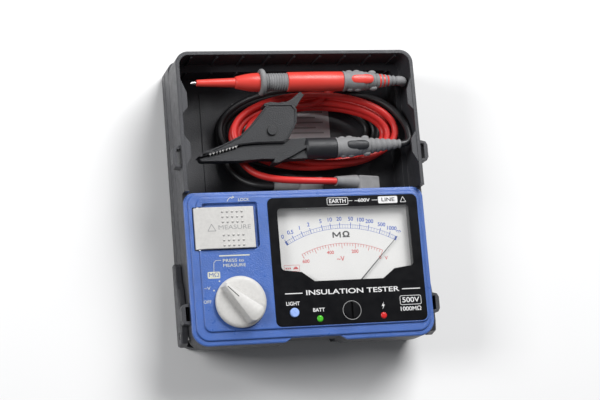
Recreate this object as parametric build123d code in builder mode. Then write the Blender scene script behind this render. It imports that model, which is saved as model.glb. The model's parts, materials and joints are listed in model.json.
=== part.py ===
"""Analogue insulation resistance tester with its two test leads stored in the lead tray.

Millimetres. +X is to the right of the front panel, +Y towards the lead tray, +Z out of the
front panel. The origin is on the surface that the folded lid rests on, below the case's centre.
"""
import os
from math import cos, pi, radians, sin, tan

from build123d import *

# Case envelope
CASE_X = 74.5  # half width of the case walls
CASE_Y = 88.5  # half length
RIM_Z = 48.6  # rim of the lead tray
SEAM_Z = 24.6  # back edge of the front case wall
SEAT_Z = 41.5  # where the front panel sits on the wall
WALL = 2.3
LEDGE_Z = 26.4  # step from the outer wall in to the rear block
TRAY_Y = 3.0  # inner face of the tray's lower wall
TRAY_FLOOR_Z = 8.6
BLOCK_X = 70.6  # half width of the rear block, which nests in the folded lid
BLOCK_LOW_Y = -79.0
BLOCK_HIGH_Y = 83.2
BLOCK_Z = 6.0
BLOCK_WALL = 1.8
FLOOR_Z = 8.0  # inside floor of the instrument bay
LUG_X = 79.5  # outer face of the strap lugs, half the overall width

# Lid and its hinge
LID_Z = 24.0
LID_LOW_Y = -84.8
LID_FLOOR = 2.2
HINGE_Y = -80.0
HINGE_Z = 28.0
HINGE_R = 2.2
HINGE_NOTCH_R = 9.8  # cut in the lid walls that lets them turn past the case
RUNNING = 0.05  # radial clearance of a turning shaft

# Front panel
PANEL_Y = 3.1
STEP_Z = (42.9, 43.9, 44.9)  # flange, first step and main face
BEZEL_Z = 43.4
BEZEL_X = (-24.2, 69.6)
BEZEL_Y = (-79.4, -2.0)
FINGER_FLAT = 15.0
FINGER_WIDE = 21.0
FINGER_DEPTH = 3.0

# Measure key
KEY_X = (-69.2, -33.3)
KEY_Y = (-31.5, -6.6)
KEY_PIN = (-66.2, 43.4)
KEY_PIN_R = 1.0
KEY_WELL_Z = 39.4

# Rotary knob
KNOB_X = -44.9
KNOB_Y = -63.5
KNOB_R = 15.4
KNOB_TIP_ANGLE = 135

# Meter
METER_X = 22.65
PIVOT_Y = -61.6
POINTER_ANGLE = 45.6
POINTER_R = 48.6
SCALE_Z = 38.6
ZERO_Y = -71.4

# Small controls and lamps on the bezel
LIGHT_BUTTON = (-12.8, -71.3)
GREEN_LED = (2.6, -75.5)
RED_LED = (42.2, -75.4)
LED_R = 2.0
BOARD_Z = 24.6
BOARD_TOP = 26.2

# Batteries: four AA cells side by side, alternately turned
CELL_R = 7.1
CELL_BODY = 49.2
CELL_NUB = 1.3
CELL_PITCH = 15.0
CELL_Z = 15.4
CELL_BAY_Y = (-72.4, -15.6)
CONTACT = 0.5
COVER_SCREW_Y = -10.8

# Lead sockets: earth, then line
SOCKET_X = (10.0, 45.0)
SOCKET_Z = 30.0
PIN_R = 2.0
SOCKET_R = 3.3

# Leads
CORD_D = 4.2
RED_COIL = (13.2, 41.2)
RED_COIL_AXES = (55.0, 26.6)
RED_COIL_Z = (20.8, 33.4)
BLACK_COIL = (8.8, 46.2)
BLACK_COIL_AXES = (56.2, 28.6)
BLACK_COIL_Z = (9.3, 20.4)
COIL_BAND = 12.6
PLUG_Y = 8.8
PLUG_ARM = 25.0  # from the pin to the end of the plug's boot
PLUG_TILT = (-4.0, 19.0)  # degrees that each arm rises above the tray floor
PROBE_Y = 69.7
PROBE_Z = 44.6
CLIP_Z = 42.0
CLIP_PIVOT = (-18.2, 39.0)
CLIP_BOOT_X = 63.25

# Routes of the free stretches of cord: out of each plug to its coil, and from the coils to the
# probe and to the clip. The stretches begin and end inside the coils that they join.
RED_START = [(21.4, 8.8, 38.1), (10, 8.7, 41), (-2.5, 9.2, 41), (-15, 11, 37.3),
             (-27, 15.5, 32.5), (-34, 23.5, 29.5), (-37, 33.5, 28)]
RED_END = [(40, 62.2, 28), (49, 66, 28.4), (58.5, 68.6, 29.2), (65, 69.5, 31.5),
           (68.3, 69.7, 35.6), (69, 69.7, 40.1)]
BLACK_START = [(-14.9, 8.8, 28.3), (-23, 9.6, 26.5), (-31.5, 13, 22.5), (-38.5, 20.5, 18.5),
               (-42.5, 30, 15.8), (-43.6, 40, 14.6)]
BLACK_END = [(39, 68.5, 17), (49, 66.5, 20.5), (58, 62.5, 25), (64, 56, 30), (68, 48, 35.5),
             (69.8, 41.8, 39), (70, 37, 40.9), (70, 33, 42), (67.2, 30.2, 42), (63.25, 30.2, 42)]

os.makedirs("parts", exist_ok=True)


def slab(x, y, z, mode=Mode.ADD):
    """A box given by its low and high x, y and z."""
    with Locations((sum(x) / 2, sum(y) / 2, sum(z) / 2)):
        Box(x[1] - x[0], y[1] - y[0], z[1] - z[0], mode=mode)


def plate(x, y, z, radius, mode=Mode.ADD):
    """A flat plate with rounded corners, given by its low and high x, y and z."""
    with BuildSketch(Plane.XY.offset(z[0])) as outline:
        with Locations((sum(x) / 2, sum(y) / 2)):
            RectangleRounded(x[1] - x[0], y[1] - y[0], radius)
    extrude(outline.sketch, amount=z[1] - z[0], mode=mode)


def shell_block(half_x, y, z, low_radius, high_radius, mode=Mode.ADD):
    """A block about x = 0 whose lower and upper corners have their own radii."""
    with BuildSketch(Plane.XY.offset(z[0])) as outline:
        with Locations((0, sum(y) / 2)):
            Rectangle(2 * half_x, y[1] - y[0])
        fillet(outline.vertices().group_by(Axis.Y)[0], low_radius)
        fillet(outline.vertices().group_by(Axis.Y)[-1], high_radius)
    extrude(outline.sketch, amount=z[1] - z[0], mode=mode)


def prism(plane, points, amount, mode=Mode.ADD):
    """A polygon drawn on a plane and extruded."""
    with BuildSketch(plane) as outline:
        with BuildLine():
            Polyline(*points, close=True)
        make_face()
    extrude(outline.sketch, amount=amount, mode=mode)


def rod(origin, direction, radius, length, mode=Mode.ADD):
    """A round bar from a point along a direction."""
    with BuildSketch(Plane(origin=origin, z_dir=direction)) as section:
        Circle(radius)
    extrude(section.sketch, amount=length, mode=mode)


def turned(origin, direction, profile):
    """A turned piece: (distance, radius) stations from a point along a direction."""
    along = Vector(*direction).normalized()
    side = along.cross(Vector(0, 0, 1))
    if side.length < 0.1:
        side = Vector(1, 0, 0)
    start, end = profile[0][0], profile[-1][0]
    plane = Plane(origin=origin, x_dir=along, z_dir=along.cross(side.normalized()))
    with BuildSketch(plane) as half_section:
        with BuildLine():
            Polyline((start, 0), *profile, (end, 0), close=True)
        make_face()
    revolve(half_section.sketch, axis=Axis(origin, along), revolution_arc=360)


def arc_radii(points):
    """The largest bend radius that each corner's two runs allow."""
    radii = []
    for before, corner, after in zip(points, points[1:], points[2:]):
        run_in = Vector(*corner) - Vector(*before)
        run_out = Vector(*after) - Vector(*corner)
        turn = radians(run_in.get_angle(run_out))
        radii.append(0.45 * min(run_in.length, run_out.length) / tan(turn / 2))
    return radii


def cord_tube(name, points):
    """A cord's tube: straight runs joined by tangent arcs."""
    radii = arc_radii(points)
    print(name, "bend radii", [round(radius, 1) for radius in radii])
    with BuildLine() as path:
        FilletPolyline(*points, radius=radii)
    with BuildSketch(path.line ^ 0) as section:
        Circle(CORD_D / 2)
    sweep(section.sketch, path=path.line)
    area = pi * (CORD_D / 2) ** 2
    length = sum(edge.length for edge in path.edges())
    print(name, "length", round(length, 1), "section times length", round(area * length, 1))


def finish(part, name):
    """Label a piece and write its file."""
    part.label = name
    export_step(part, f"parts/{name}.step")


def finger_recess(z, depth):
    """The finger recess in the middle of the lower edge, cut through a range of heights."""
    prism(
        Plane.XY.offset(z[0]),
        [(-FINGER_WIDE, -CASE_Y - 1), (-FINGER_FLAT, -CASE_Y + depth),
         (FINGER_FLAT, -CASE_Y + depth), (FINGER_WIDE, -CASE_Y - 1)],
        z[1] - z[0],
        Mode.SUBTRACT,
    )


SIDES = (-1, 1)
BAY_X = CASE_X - WALL
DEEP_X = BLOCK_X - BLOCK_WALL
SCREW_AT = [(side * 63.5, y) for side in SIDES for y in (-70.5, -2.0)]

# ---------------------------------------------------------------- case body
with BuildPart() as case_body:
    shell_block(CASE_X, (-CASE_Y, CASE_Y), (SEAM_Z, RIM_Z), 10, 8)
    fillet(case_body.faces().sort_by(Axis.Z)[-1].edges(), 0.7)
    shell_block(BLOCK_X, (BLOCK_LOW_Y, BLOCK_HIGH_Y), (BLOCK_Z, SEAM_Z), 6, 6)
    # Lead tray, stepped where the rear block narrows
    shell_block(BAY_X, (TRAY_Y, CASE_Y - WALL), (LEDGE_Z, RIM_Z), 1.5, 6, Mode.SUBTRACT)
    shell_block(DEEP_X, (TRAY_Y, BLOCK_HIGH_Y - BLOCK_WALL), (TRAY_FLOOR_Z, LEDGE_Z), 1.5, 5,
                Mode.SUBTRACT)
    # Instrument bay
    shell_block(BAY_X, (-CASE_Y + WALL, 1.0), (LEDGE_Z, RIM_Z), 7.7, 1, Mode.SUBTRACT)
    shell_block(DEEP_X, (BLOCK_LOW_Y + BLOCK_WALL, 1.0), (FLOOR_Z, LEDGE_Z), 4.5, 1, Mode.SUBTRACT)
    slab((-80, 80), (-CASE_Y - 1, PANEL_Y - 0.05), (SEAT_Z, RIM_Z + 1), Mode.SUBTRACT)
    # Finger recess in the lower wall, with its own backing
    slab((-24, 24), (-CASE_Y + WALL - 0.1, -CASE_Y + 5.3), (SEAM_Z, SEAT_Z))
    finger_recess((SEAM_Z - 1, SEAT_Z + 1), FINGER_DEPTH)
    # Depth-wise ribs on the tray's upper wall
    for count in range(9):
        rib_x = -63.9 + 16 * count
        slab((rib_x - 0.6, rib_x + 0.6), (CASE_Y - WALL - 1.3, CASE_Y - WALL + 0.1), (LEDGE_Z, 46))
        slab((rib_x - 0.6, rib_x + 0.6), (80.4, BLOCK_HIGH_Y - BLOCK_WALL + 0.1),
             (TRAY_FLOOR_Z, LEDGE_Z))
    # Tabs standing in from the side rims
    for side in SIDES:
        for low, flat_low, flat_high, high in ((17, 23.5, 32, 37.6), (50, 54, 63, 72)):
            prism(
                Plane.XY.offset(RIM_Z - 2.2),
                [(side * (BAY_X + 0.2), low), (side * DEEP_X, flat_low),
                 (side * DEEP_X, flat_high), (side * (BAY_X + 0.2), high)],
                1.9,
            )
    # Strap lugs: a band that stands off the wall, with the strap slot behind it
    for side in SIDES:
        for low, high, lug_z in ((17.5, 31.5, (38.2, 46.4)), (-75.2, -62.0, (32.6, 40.6))):
            prism(
                Plane.XY.offset(lug_z[0]),
                [(side * (CASE_X - 0.4), low), (side * (LUG_X - 1.2), low + 1.0),
                 (side * LUG_X, low + 3.2), (side * LUG_X, high - 3.2),
                 (side * (LUG_X - 1.2), high - 1.0), (side * (CASE_X - 0.4), high)],
                lug_z[1] - lug_z[0],
            )
            slab(
                sorted((side * CASE_X, side * (CASE_X + 2.6))),
                (low + 2.4, high - 2.4), (lug_z[0] - 1, lug_z[1] + 1), Mode.SUBTRACT,
            )
    # Bosses for the lid's hinge pins
    for side in SIDES:
        rod((side * (BAY_X + 0.2), HINGE_Y, HINGE_Z), (-side, 0, 0), 4.4, 6.4)
        rod((side * (CASE_X + 1), HINGE_Y, HINGE_Z), (-side, 0, 0), HINGE_R, 10, Mode.SUBTRACT)
    # Holes for the two lead sockets
    for socket_x in SOCKET_X:
        rod((socket_x, 0, SOCKET_Z), (0, 1, 0), SOCKET_R, 4, Mode.SUBTRACT)
    # Screw bosses of the front panel
    for x, y in SCREW_AT:
        rod((x, y, FLOOR_Z - 0.1), (0, 0, 1), 3.2, 15.0)
        rod((x, y, BLOCK_Z - 1), (0, 0, 1), 2.5, 3.4, Mode.SUBTRACT)
        rod((x, y, BLOCK_Z), (0, 0, 1), 1.4, 20, Mode.SUBTRACT)
    # Battery opening
    slab((-33.4, 33.4), (-74.6, -13.4), (BLOCK_Z - 1, FLOOR_Z + 1), Mode.SUBTRACT)
    for side in SIDES:
        rod((side * 27, COVER_SCREW_Y, FLOOR_Z - 0.1), (0, 0, 1), 2.6, 9)
        rod((side * 27, COVER_SCREW_Y, BLOCK_Z - 1), (0, 0, 1), 1.25, 9, Mode.SUBTRACT)
    # Raised panel on the tray floor, between the side channels
    plate((-53.2, 53.2), (5.0, 73.0), (TRAY_FLOOR_Z - 0.5, TRAY_FLOOR_Z + 0.5), 1.5)
finish(case_body.part, "case_body")

# ---------------------------------------------------------------- lid, folded behind the case
with BuildPart() as lid:
    shell_block(CASE_X, (LID_LOW_Y, CASE_Y), (0, LID_Z), 6, 5)
    fillet(lid.faces().sort_by(Axis.Z)[0].edges(), 2.6)
    shell_block(BAY_X, (LID_LOW_Y + WALL, CASE_Y - WALL), (LID_FLOOR, LID_Z + 1), 3.7, 2.7,
                Mode.SUBTRACT)
    # The lower wall is only a low lip
    slab((-BAY_X, BAY_X), (LID_LOW_Y - 1, LID_LOW_Y + 6), (9, LID_Z + 1), Mode.SUBTRACT)
    for side in SIDES:
        rod((side * (CASE_X + 1), HINGE_Y, HINGE_Z), (-side, 0, 0), HINGE_NOTCH_R, 10,
            Mode.SUBTRACT)
        slab(sorted((side * (BAY_X - 5), side * (CASE_X + 1))), (LID_LOW_Y - 1, HINGE_Y),
             (16, LID_Z + 1), Mode.SUBTRACT)
    # Finger notch through the lip
    plate((-20, 20), (-95, -81.2), (-1, 12), 3, Mode.SUBTRACT)
    # Moulded line along the side and upper walls
    for side in SIDES:
        slab(sorted((side * (CASE_X - 0.7), side * (CASE_X + 1))), (-75, CASE_Y + 1), (11.2, 12.2),
             Mode.SUBTRACT)
    # Holes for the arm screws
    for side in SIDES:
        for y in (-64, -44):
            rod((side * (CASE_X + 1), y, 20.6), (-side, 0, 0), 1.3, 6, Mode.SUBTRACT)
finish(lid.part, "lid")

for side, arm_name in ((-1, "left_hinge_arm"), (1, "right_hinge_arm")):
    with BuildPart() as arm:
        with BuildSketch(Plane.YZ.offset(side * (CASE_X + 0.5))) as arm_outline:
            with BuildLine():
                Polyline((-85.2, 19.2), (-86.2, 24.0), (-84.6, 31.2), (-78.0, 32.4), (-60.5, 31.2),
                         (-52.0, 29.0), (-47.0, 25.4), (-38.0, 25.0), (-36.0, 22.6), (-36.0, 18.2),
                         close=True)
            make_face()
            fillet(arm_outline.vertices().group_by(Axis.X)[-1], 1.5)
        extrude(amount=side * 4.2)
        fillet(arm.faces().sort_by(Axis.X)[0 if side < 0 else -1].edges(), 1.1)
        slab(sorted((side * CASE_X, side * (CASE_X + 0.8))), (-70, -38), (18.8, 23.0))
        rod((side * (CASE_X - 1), HINGE_Y, HINGE_Z), (side, 0, 0), HINGE_R + RUNNING, 8,
            Mode.SUBTRACT)
        for y in (-64, -44):
            rod((side * (CASE_X - 1), y, 20.6), (side, 0, 0), 1.0, 4.4, Mode.SUBTRACT)
    finish(arm.part, arm_name)

with BuildPart() as arm_screws:
    for side in SIDES:
        for y in (-64, -44):
            rod((side * BAY_X, y, 20.6), (side, 0, 0), 1.0, 5.2)
            rod((side * (BAY_X - 1.0), y, 20.6), (side, 0, 0), 2.0, 1.0)
finish(arm_screws.part, "arm_screws")

with BuildPart() as hinge_pins:
    for side in SIDES:
        rod((side * 66.4, HINGE_Y, HINGE_Z), (side, 0, 0), HINGE_R, 12.4)
finish(hinge_pins.part, "hinge_pins")

# ---------------------------------------------------------------- front panel
METER_POCKET = ((-20.6, 65.9), (-57.1, -5.4))
METER_NECK = ((7.9, 37.4), (-77.6, -56.5))
with BuildPart() as front_panel:
    shell_block(CASE_X, (-CASE_Y + 0.1, PANEL_Y), (SEAT_Z, STEP_Z[0]), 10, 6.5)
    fillet(front_panel.faces().sort_by(Axis.Z)[-1].edges(), 0.8)
    shell_block(CASE_X - 2.5, (-CASE_Y + 3.0, PANEL_Y - 1.2), (STEP_Z[0] - 0.2, STEP_Z[1]), 8, 5.5)
    fillet(front_panel.faces().sort_by(Axis.Z)[-1].edges(), 0.7)
    plate((-67.2, 70.9), (-80.4, -0.2), (STEP_Z[1] - 0.2, STEP_Z[2]), 4.5)
    fillet(front_panel.faces().sort_by(Axis.Z)[-1].edges(), 0.7)
    finger_recess((SEAT_Z - 1, STEP_Z[2] + 1), FINGER_DEPTH - 0.4)
    # Well of the measure key
    plate((-71.3, -31.2), (-33.3, -4.8), (37.8, SEAT_Z + 0.1), 1.5)
    plate((-69.9, -32.4), (-32.1, -6.0), (KEY_WELL_Z, RIM_Z), 1.0, Mode.SUBTRACT)
    plate((-64.0, -30.4), (-31.0, -3.9), (43.0, RIM_Z), 1.4, Mode.SUBTRACT)
    rod((KEY_PIN[0], -33.6, KEY_PIN[1]), (0, 1, 0), KEY_PIN_R, 29.2, Mode.SUBTRACT)
    rod((-42, -20, 37), (0, 0, 1), 1.6, 3, Mode.SUBTRACT)
    # Knob shaft hole
    rod((KNOB_X, KNOB_Y, SEAT_Z - 1), (0, 0, 1), 5.6, 6, Mode.SUBTRACT)
    # Seat of the bezel, and the openings below it
    plate((BEZEL_X[0] - 0.05, BEZEL_X[1] + 0.05), (BEZEL_Y[0] - 0.05, BEZEL_Y[1] + 0.05),
          (BEZEL_Z, RIM_Z), 3.6, Mode.SUBTRACT)
    slab(*METER_POCKET, (SEAT_Z - 1, BEZEL_Z + 0.1), Mode.SUBTRACT)
    slab(*METER_NECK, (SEAT_Z - 1, BEZEL_Z + 0.1), Mode.SUBTRACT)
    for x, y in (LIGHT_BUTTON, GREEN_LED, RED_LED):
        rod((x, y, SEAT_Z - 1), (0, 0, 1), 3.1, 4, Mode.SUBTRACT)
    # Screw posts, which meet the bosses of the case
    for x, y in SCREW_AT:
        rod((x, y, 23.0), (0, 0, 1), 2.9, SEAT_Z - 23.0 + 0.1)
        rod((x, y, 22.0), (0, 0, 1), 1.25, 12, Mode.SUBTRACT)
finish(front_panel.part, "front_panel")


def window_outline(margin):
    """The meter window's outline: a rectangle whose lower corners are cut back in steps."""
    half = [(41.2, -8.4), (41.2, -45.6), (29.0, -47.2), (21.4, -53.0)]
    shrink = [(-1, -1), (-1, 1), (-0.6, 1), (-0.6, 1)]
    right = [(x + margin * dx, y + margin * dy) for (x, y), (dx, dy) in zip(half, shrink)]
    left = [(-x, y) for x, y in reversed(right)]
    return [(METER_X + x, y) for x, y in right + left]


def window_prism(margin, z, mode=Mode.ADD):
    """The window outline with its outer corners rounded, extruded between two heights."""
    with BuildSketch(Plane.XY.offset(z[0])) as outline:
        with BuildLine():
            Polyline(*window_outline(margin), close=True)
        make_face()
        outer = [vertex for vertex in outline.vertices() if abs(vertex.X - METER_X) > 35]
        fillet(outer, 2.4)
    extrude(outline.sketch, amount=z[1] - z[0], mode=mode)


with BuildPart() as bezel:
    plate(BEZEL_X, BEZEL_Y, (BEZEL_Z, STEP_Z[2] + 0.15), 3.5)
    window_prism(0.0, (BEZEL_Z - 1, RIM_Z), Mode.SUBTRACT)
    rod((*LIGHT_BUTTON, BEZEL_Z - 1), (0, 0, 1), 3.1, 4, Mode.SUBTRACT)
    for x, y in (GREEN_LED, RED_LED):
        rod((x, y, BEZEL_Z - 1), (0, 0, 1), LED_R, 4, Mode.SUBTRACT)
    rod((METER_X, ZERO_Y, BEZEL_Z - 1), (0, 0, 1), 5.2, 4, Mode.SUBTRACT)
finish(bezel.part, "bezel")

with BuildPart() as meter_window:
    window_prism(0.0, (BEZEL_Z, STEP_Z[2] + 0.7))
    fillet(meter_window.faces().sort_by(Axis.Z)[-1].edges(), 0.5)
finish(meter_window.part, "meter_window")

# ---------------------------------------------------------------- meter movement
with BuildPart() as meter_frame:
    slab((-20, 65.3), (-56.5, -6), (BOARD_TOP, BEZEL_Z))
    slab((8.5, 36.8), (-77, -56), (BOARD_TOP, BEZEL_Z))
    slab((-18.8, 64.1), (-55.3, -7.2), (27.4, BEZEL_Z + 1), Mode.SUBTRACT)
    slab((9.7, 35.6), (-75.8, -55), (27.4, BEZEL_Z + 1), Mode.SUBTRACT)
    rod((METER_X, PIVOT_Y, 27.3), (0, 0, 1), 1.5, 0.4)
    for x in (-17.8, 63.1):
        for y in (-54.3, -8.2):
            slab((x - 1.1, x + 1.1), (y - 1.1, y + 1.1), (27.3, SCALE_Z))
finish(meter_frame.part, "meter_frame")

with BuildPart() as meter_magnet:
    rod((METER_X, PIVOT_Y, 27.4), (0, 0, 1), 12.0, 9.2)
    rod((METER_X, PIVOT_Y, 27.4), (0, 0, 1), 8.6, 9.3, Mode.SUBTRACT)
    rod((METER_X, PIVOT_Y, 29.6), (0, 0, 1), 6.0, 6.0)
    slab((METER_X - 9, METER_X + 9), (PIVOT_Y - 1.2, PIVOT_Y + 1.2), (29.6, 35.6))
finish(meter_magnet.part, "meter_magnet")

POINTER_DIR = (cos(radians(POINTER_ANGLE)), sin(radians(POINTER_ANGLE)), 0)
with BuildPart() as meter_coil:
    with BuildSketch(Plane(origin=(METER_X, PIVOT_Y, 28.4), x_dir=POINTER_DIR, z_dir=(0, 0, 1))):
        Rectangle(15.4, 3.6)
    extrude(amount=8.6)
    with BuildSketch(Plane(origin=(METER_X, PIVOT_Y, 29.3), x_dir=POINTER_DIR, z_dir=(0, 0, 1))):
        Rectangle(13.4, 5)
    extrude(amount=6.8, mode=Mode.SUBTRACT)
    rod((METER_X, PIVOT_Y, 36.9), (0, 0, 1), 0.8, 3.4)
    rod((METER_X, PIVOT_Y, 28.05), (0, 0, 1), 0.6, 0.4)
finish(meter_coil.part, "meter_coil")

with BuildPart() as pointer:
    rod((METER_X, PIVOT_Y, 40.3), (0, 0, 1), 1.8, 0.8)
    needle_plane = Plane(origin=(METER_X, PIVOT_Y, 40.4), x_dir=POINTER_DIR, z_dir=(0, 0, 1))
    prism(needle_plane, [(-5.5, -1.2), (0, -0.7), (POINTER_R, -0.25), (POINTER_R, 0.25), (0, 0.7),
                         (-5.5, 1.2)], 0.6)
finish(pointer.part, "pointer")

with BuildPart() as scale_plate:
    slab((-18.8, 64.1), (-55.3, -7.2), (SCALE_Z, SCALE_Z + 0.6))
finish(scale_plate.part, "scale_plate")

with BuildPart() as zero_screw:
    rod((METER_X, ZERO_Y, BEZEL_Z + 0.2), (0, 0, 1), 5.15, 1.9)
    fillet(zero_screw.faces().sort_by(Axis.Z)[-1].edges(), 0.5)
    slab((METER_X - 0.7, METER_X + 0.7), (ZERO_Y - 6, ZERO_Y + 6), (44.3, 46), Mode.SUBTRACT)
    rod((METER_X, ZERO_Y, 37.5), (0, 0, 1), 1.7, 6.3)
finish(zero_screw.part, "zero_screw")

with BuildPart() as dial_lamps:
    for x in (-13.5, 58.8):
        slab((x - 1.8, x + 1.8), (-52, -49), (27.4, 30.2))
finish(dial_lamps.part, "dial_lamps")

# ---------------------------------------------------------------- measure key
with BuildPart() as measure_key:
    prism(
        Plane.XZ.offset(-KEY_Y[1]),
        [(KEY_X[0], 42.5), (KEY_X[0], 44.5), (-64.2, 46.7), (KEY_X[1], 46.7), (KEY_X[1], 42.5)],
        KEY_Y[1] - KEY_Y[0],
    )
    fillet(measure_key.faces().sort_by(Axis.Z)[-1].edges(), 0.35)
    rod((KEY_PIN[0], KEY_Y[0] - 1, KEY_PIN[1]), (0, 1, 0), KEY_PIN_R + RUNNING, 28, Mode.SUBTRACT)
    rod((KEY_PIN[0], -23.6, KEY_PIN[1]), (0, 1, 0), 1.85, 6.8, Mode.SUBTRACT)
    slab((KEY_PIN[0] - 1.85, KEY_PIN[0] + 1.85), (-23.6, -16.8), (42, KEY_PIN[1]), Mode.SUBTRACT)
finish(measure_key.part, "measure_key")

with BuildPart() as key_pin:
    rod((KEY_PIN[0], -33.6, KEY_PIN[1]), (0, 1, 0), KEY_PIN_R, 29.2)
finish(key_pin.part, "key_pin")

with BuildPart() as key_spring:
    rod((KEY_PIN[0], -23.0, KEY_PIN[1]), (0, 1, 0), 1.5, 5.6)
    rod((KEY_PIN[0], -23.5, KEY_PIN[1]), (0, 1, 0), KEY_PIN_R, 7, Mode.SUBTRACT)
finish(key_spring.part, "key_spring")

with BuildPart() as key_switch:
    slab((-46, -38), (-24, -16), (BOARD_TOP, 37.6))
    rod((-42, -20, 37.5), (0, 0, 1), 1.2, 2.8)
finish(key_switch.part, "key_switch")

# ---------------------------------------------------------------- rotary knob and switch
with BuildPart() as knob:
    rod((KNOB_X, KNOB_Y, 45.3), (0, 0, 1), KNOB_R, 2.7)
    fillet(knob.faces().sort_by(Axis.Z)[-1].edges(), 1.4)
    knob_plane = Plane(
        origin=(KNOB_X, KNOB_Y, 47.5),
        x_dir=(cos(radians(KNOB_TIP_ANGLE)), sin(radians(KNOB_TIP_ANGLE)), 0),
        z_dir=(0, 0, 1),
    )
    with BuildSketch(knob_plane):
        with BuildLine():
            Polyline((13.4, -1.5), (13.4, 1.5), (-11.6, 8.2), (-14.0, 0), (-11.6, -8.2), close=True)
        make_face()
    extrude(amount=5.2, taper=8)
    fillet(knob.faces().sort_by(Axis.Z)[-1].edges(), 0.6)
    rod((KNOB_X, KNOB_Y, 42.2), (0, 0, 1), 5.2, 3.2)
    rod((KNOB_X, KNOB_Y, 41.0), (0, 0, 1), 3.0, 6.0, Mode.SUBTRACT)
finish(knob.part, "knob")

with BuildPart() as switch_shaft:
    rod((KNOB_X, KNOB_Y, 27.6), (0, 0, 1), 3.0, 19.4)
finish(switch_shaft.part, "switch_shaft")

with BuildPart() as rotary_switch:
    rod((KNOB_X, KNOB_Y, BOARD_TOP), (0, 0, 1), 11.0, 9.6)
    rod((KNOB_X, KNOB_Y, 27.4), (0, 0, 1), 3.0 + RUNNING, 10, Mode.SUBTRACT)
finish(rotary_switch.part, "rotary_switch")

# ---------------------------------------------------------------- light button and lamps
with BuildPart() as light_button:
    rod((*LIGHT_BUTTON, 43.0), (0, 0, 1), 2.8, 3.2)
    fillet(light_button.faces().sort_by(Axis.Z)[-1].edges(), 0.6)
    rod((*LIGHT_BUTTON, 31.4), (0, 0, 1), 1.4, 11.7)
finish(light_button.part, "light_button")

with BuildPart() as light_switch:
    slab((LIGHT_BUTTON[0] - 3, LIGHT_BUTTON[0] + 3), (LIGHT_BUTTON[1] - 3, LIGHT_BUTTON[1] + 3),
         (BOARD_TOP, 29.6))
    rod((*LIGHT_BUTTON, 29.5), (0, 0, 1), 1.6, 0.7)
finish(light_switch.part, "light_switch")

for (x, y), led_name in ((GREEN_LED, "battery_led"), (RED_LED, "live_circuit_led")):
    with BuildPart() as led:
        rod((x, y, 39.6), (0, 0, 1), LED_R, 5.8)
        fillet(led.faces().sort_by(Axis.Z)[-1].edges(), 0.9)
        rod((x, y, 38.8), (0, 0, 1), 2.5, 1.0)
        for leg in (-1, 1):
            rod((x + leg, y + 1.2, BOARD_TOP), (0, 0, 1), 0.35, 12.7)
    finish(led.part, led_name)

# ---------------------------------------------------------------- circuit board
with BuildPart() as main_board:
    plate((-59.4, 59.4), (-75.5, -1.5), (BOARD_Z, BOARD_TOP), 2)
finish(main_board.part, "main_board")

with BuildPart() as transformer:
    slab((-58, -46.6), (-44, -28), (BOARD_TOP, 35.6))
    slab((-56.4, -48.2), (-46, -26), (28.2, 33.6))
finish(transformer.part, "transformer")

with BuildPart() as capacitors:
    for x, y in ((-28, -30), (-28, -42), (-28, -54)):
        rod((x, y, BOARD_TOP), (0, 0, 1), 4.0, 11.0)
finish(capacitors.part, "capacitors")

# ---------------------------------------------------------------- batteries
CELL_X = [CELL_PITCH * (index - 1.5) for index in range(4)]
CELL_TURNS = (1, -1, 1, -1)
with BuildPart() as battery_holder:
    slab((-32.6, 32.6), (-73.6, -14.4), (FLOOR_Z + 0.2, 23.8))
    for cell_x in CELL_X:
        slab((cell_x - 7.25, cell_x + 7.25), CELL_BAY_Y, (FLOOR_Z - 1, 22.8), Mode.SUBTRACT)
finish(battery_holder.part, "battery_holder")

with BuildPart() as batteries:
    for cell_x, turn in zip(CELL_X, CELL_TURNS):
        nub_y = CELL_BAY_Y[1] - CONTACT if turn > 0 else CELL_BAY_Y[0] + CONTACT
        rod((cell_x, nub_y, CELL_Z), (0, -turn, 0), 2.7, CELL_NUB + 0.1)
        rod((cell_x, nub_y - turn * CELL_NUB, CELL_Z), (0, -turn, 0), CELL_R, CELL_BODY)
finish(batteries.part, "batteries")

with BuildPart() as battery_contacts:
    for cell_x, turn in zip(CELL_X, CELL_TURNS):
        for end, inward in zip(CELL_BAY_Y, SIDES[::-1]):
            slab((cell_x - 5.5, cell_x + 5.5), sorted((end, end + inward * CONTACT)), (9.9, 20.9))
        spring_end = CELL_BAY_Y[0] + CONTACT if turn > 0 else CELL_BAY_Y[1] - CONTACT
        rod((cell_x, spring_end - turn * 0.1, CELL_Z), (0, turn, 0), 4.5, 5.3)
        rod((cell_x, spring_end, CELL_Z), (0, turn, 0), 3.7, 6, Mode.SUBTRACT)
finish(battery_contacts.part, "battery_contacts")

with BuildPart() as battery_cover:
    plate((-36, 36), (-76.6, -6.6), (4.6, BLOCK_Z), 3)
    slab((-33.1, 33.1), (-74.3, -13.7), (BLOCK_Z - 0.1, FLOOR_Z - 0.1))
    for side in SIDES:
        slab(sorted((side * 12, side * 20)), (-76.0, -73.8), (FLOOR_Z + 0.1, 9.2))
        slab(sorted((side * 12, side * 20)), (-74.4, -73.8), (FLOOR_Z - 0.2, FLOOR_Z + 0.2))
        rod((side * 27, COVER_SCREW_Y, 4), (0, 0, 1), 1.25, 3, Mode.SUBTRACT)
finish(battery_cover.part, "battery_cover")

with BuildPart() as battery_cover_screws:
    for side in SIDES:
        rod((side * 27, COVER_SCREW_Y, 3.5), (0, 0, 1), 2.4, 1.1)
        rod((side * 27, COVER_SCREW_Y, 4.5), (0, 0, 1), 1.25, 8.5)
finish(battery_cover_screws.part, "battery_cover_screws")

with BuildPart() as case_screws:
    for x, y in SCREW_AT:
        rod((x, y, BLOCK_Z + 0.6), (0, 0, 1), 2.3, 1.8)
        rod((x, y, BLOCK_Z + 2), (0, 0, 1), 1.25, 23)
finish(case_screws.part, "case_screws")

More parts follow.
